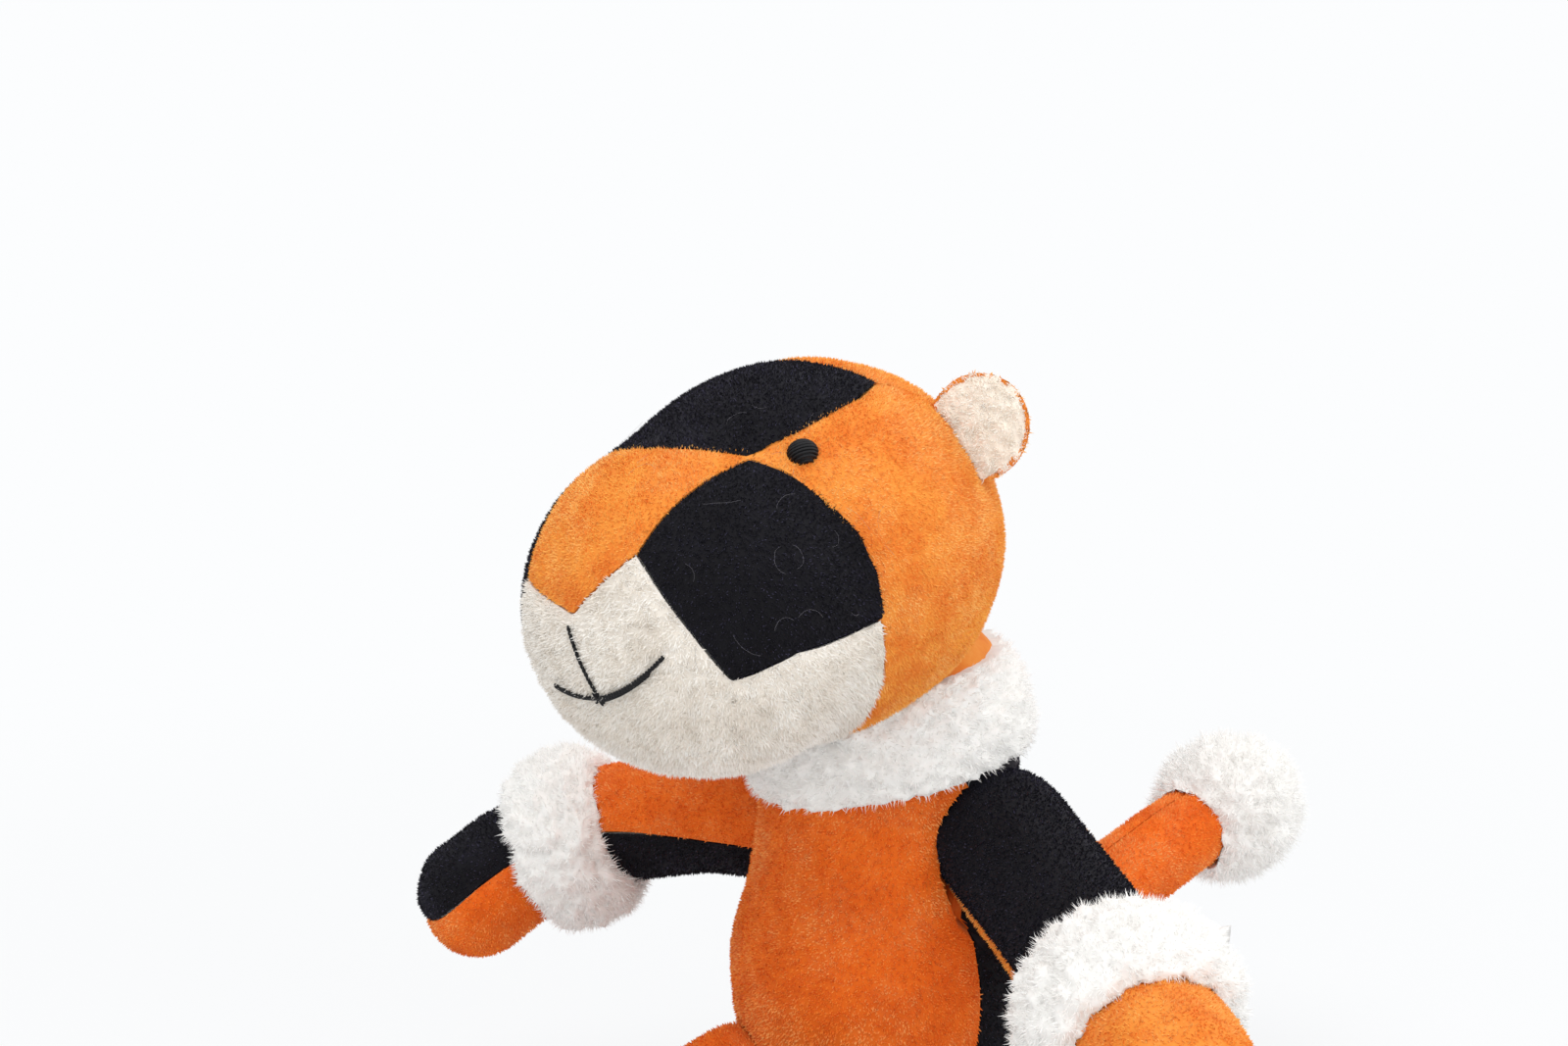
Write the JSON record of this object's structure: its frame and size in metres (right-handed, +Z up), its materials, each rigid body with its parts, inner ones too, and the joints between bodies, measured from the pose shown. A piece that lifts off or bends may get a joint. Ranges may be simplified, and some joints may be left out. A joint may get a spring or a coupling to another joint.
{
  "type": "plush tiger",
  "caption": "Small seated plush tiger with velour panels, fleece collar and cuffs, stitched eyes and mouth, round ears and a tufted tail.",
  "frame": {"origin": "middle of the seat, on the floor", "axes": "-Y the way the face looks, +X the tiger's left, +Z up"},
  "size_m": [0.145, 0.1579, 0.1244],
  "materials": {
    "orange_velour": "short matte pile",
    "black_velour": "short matte pile",
    "cream_velour": "short matte pile",
    "white_fleece": "curly fleece",
    "black_thread": "matte thread",
    "stuffing": "loose fibre",
    "label_satin": "satin ribbon"
  },
  "bodies": {
    "torso": {"body_stuffing": "stuffing", "belly_panel": "orange_velour", "back_panel": "black_velour", "seat_panel": "black_velour", "neck_stuffing": "stuffing", "label": "label_satin"},
    "collar": {"collar": "white_fleece"},
    "head": {"head_stuffing": "stuffing", "bridge": "orange_velour", "forehead": "black_velour", "crown": "orange_velour", "cheek_L": "black_velour", "cheek_R": "black_velour", "temple_L": "orange_velour", "temple_R": "orange_velour", "muzzle": "cream_velour", "eye_L": "black_thread", "eye_R": "black_thread", "mouth_stitch": "black_thread", "philtrum_stitch": "black_thread"},
    "ear_L": {"ear_L_back": "orange_velour", "ear_L_face": "cream_velour"},
    "ear_R": {"ear_R_back": "orange_velour", "ear_R_face": "cream_velour"},
    "arm_L": {"arm_L_stuffing": "stuffing", "sleeve_L_top": "black_velour", "sleeve_L_bottom": "orange_velour", "paw_L_top": "orange_velour", "paw_L_bottom": "black_velour", "cuff_L": "white_fleece"},
    "arm_R": {"arm_R_stuffing": "stuffing", "sleeve_R_top": "orange_velour", "sleeve_R_bottom": "black_velour", "paw_R_top": "black_velour", "paw_R_bottom": "orange_velour", "cuff_R": "white_fleece"},
    "leg_L": {"leg_L_stuffing": "stuffing", "leg_L_top": "black_velour", "leg_L_bottom": "orange_velour", "foot_L_top": "orange_velour", "foot_L_bottom": "black_velour", "anklet_L": "white_fleece"},
    "leg_R": {"leg_R_stuffing": "stuffing", "leg_R_top": "orange_velour", "leg_R_bottom": "black_velour", "foot_R_top": "black_velour", "foot_R_bottom": "orange_velour", "anklet_R": "white_fleece"},
    "tail": {"tail_stuffing": "stuffing", "tail_left": "orange_velour", "tail_right": "orange_velour", "tail_tuft": "white_fleece"}
  },
  "joints": [
    {"name": "neck_turn", "type": "hinge", "parent": "torso", "child": "collar", "pos_m": [0, 0, 0.072], "axis": [-0.1097, -0.1862, 0.9764], "range_deg": [-20, 20], "stiffness_Nm_per_rad": 0.03},
    {"name": "head_nod", "type": "hinge", "parent": "collar", "child": "head", "pos_m": [0, 0, 0.072], "axis": [0.994, -0.0206, 0.1078], "range_deg": [-12, 12], "stiffness_Nm_per_rad": 0.08, "springref_deg": -2.29},
    {"name": "ear_L_fold", "type": "hinge", "parent": "head", "child": "ear_L", "pos_m": [0.01843, -0.00404, 0.11471], "axis": [0.6103, 0.1192, -0.7831], "range_deg": [-20, 20], "stiffness_Nm_per_rad": 0.005},
    {"name": "ear_R_fold", "type": "hinge", "parent": "head", "child": "ear_R", "pos_m": [-0.02079, -0.00323, 0.11046], "axis": [0.423, -0.1406, 0.8952], "range_deg": [-20, 20], "stiffness_Nm_per_rad": 0.005},
    {"name": "arm_L_raise", "type": "hinge", "parent": "torso", "child": "arm_L", "pos_m": [0.01929, 0.0026, 0.05933], "axis": [0, -1, 0], "range_deg": [-20, 15], "stiffness_Nm_per_rad": 0.04, "springref_deg": 1.72},
    {"name": "arm_R_raise", "type": "hinge", "parent": "torso", "child": "arm_R", "pos_m": [-0.02, -0.0015, 0.05501], "axis": [0, 1, 0], "range_deg": [-20, 15], "stiffness_Nm_per_rad": 0.04, "springref_deg": 1.72},
    {"name": "leg_L_raise", "type": "hinge", "parent": "torso", "child": "leg_L", "pos_m": [0.0104, -0.01921, 0.02102], "axis": [-1, 0, 0], "range_deg": [0, 25], "stiffness_Nm_per_rad": 0.04},
    {"name": "leg_R_raise", "type": "hinge", "parent": "torso", "child": "leg_R", "pos_m": [-0.0104, -0.01921, 0.02102], "axis": [-1, 0, 0], "range_deg": [0, 25], "stiffness_Nm_per_rad": 0.04},
    {"name": "tail_lift", "type": "hinge", "parent": "torso", "child": "tail", "pos_m": [0, 0.02279, 0.02549], "axis": [1, 0, 0], "range_deg": [-12, 18], "stiffness_Nm_per_rad": 0.03, "springref_deg": 1.72}
  ]
}
